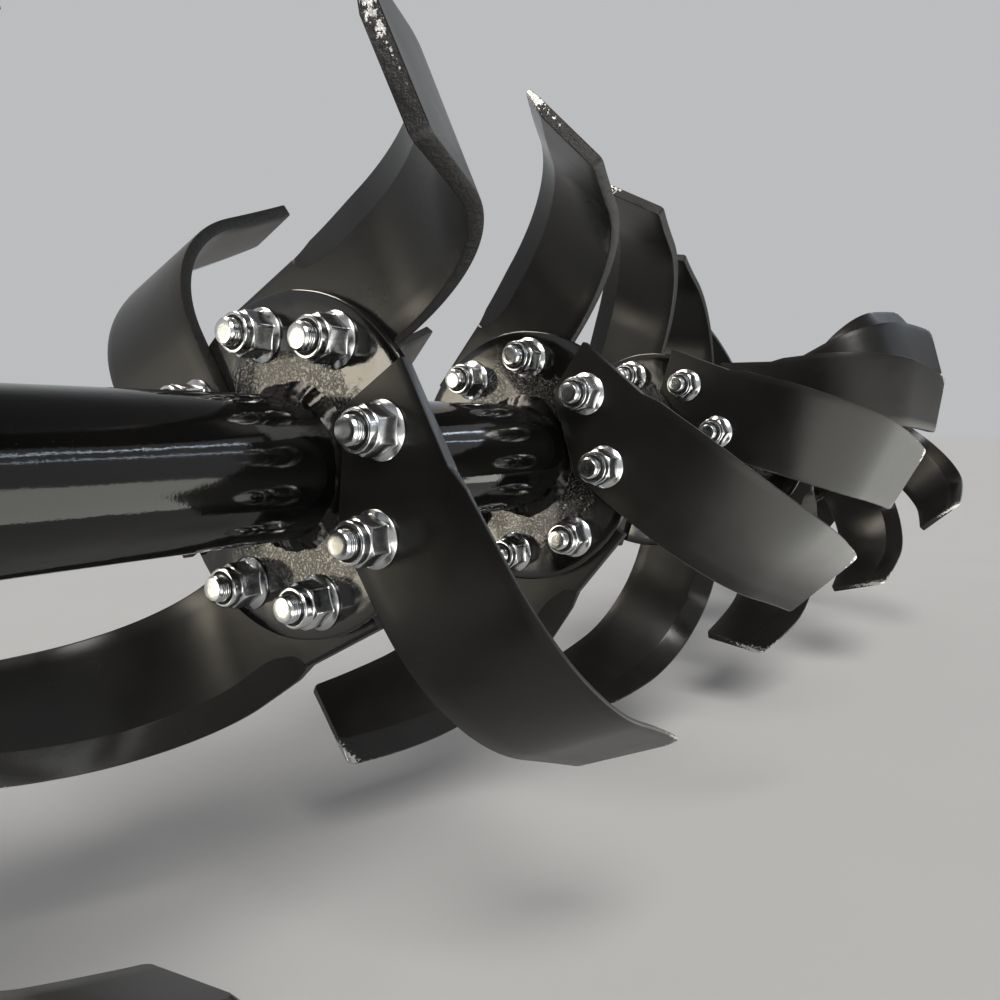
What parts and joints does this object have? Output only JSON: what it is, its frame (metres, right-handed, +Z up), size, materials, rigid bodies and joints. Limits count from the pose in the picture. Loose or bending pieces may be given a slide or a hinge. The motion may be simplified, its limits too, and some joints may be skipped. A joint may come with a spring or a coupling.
{
  "type": "rotary tiller blade rotor",
  "caption": "Blade rotor of a rotary tiller: a tube with welded disc flanges and bolted curved tines, turning freely in two flanged end bearing housings",
  "frame": {"origin": "on the rotor axis, on the face that bolts the left bearing housing to the machine's side plate", "axes": "+X along the rotor to the right, +Y forward, +Z up, with the pictured camera behind the left end"},
  "size_m": [1.977, 0.4946, 0.4946],
  "materials": {
    "gloss_enamel": "gloss black enamel",
    "flange_enamel": "gloss black enamel, rough beside the welds",
    "tine_enamel": "satin black enamel over forged steel, chipped at the tips",
    "turned_steel": "turned steel",
    "housing_enamel": "black enamel over a casting",
    "bearing_steel": "ground steel",
    "seal_rubber": "matte black rubber",
    "zinc_steel": "bright zinc-plated steel"
  },
  "bodies": {
    "housings": {"bearing_housings": "housing_enamel", "bearings": "bearing_steel", "shaft_seals": "seal_rubber", "closed_cover": "housing_enamel", "drive_side_cover": "housing_enamel", "grease_nipples": "zinc_steel"},
    "rotor": {"rotor_tube": "gloss_enamel", "flanges": "flange_enamel", "flange_welds": "flange_enamel", "tines_bent_right": "tine_enamel", "tines_bent_left": "tine_enamel", "end_guards": "gloss_enamel", "left_stub_shaft": "turned_steel", "drive_stub_shaft": "turned_steel"}
  },
  "joints": [
    {"name": "rotor_spin", "type": "hinge", "parent": "housings", "child": "rotor", "pos_m": [0, 0, 0], "axis": [1, 0, 0], "continuous": true}
  ]
}
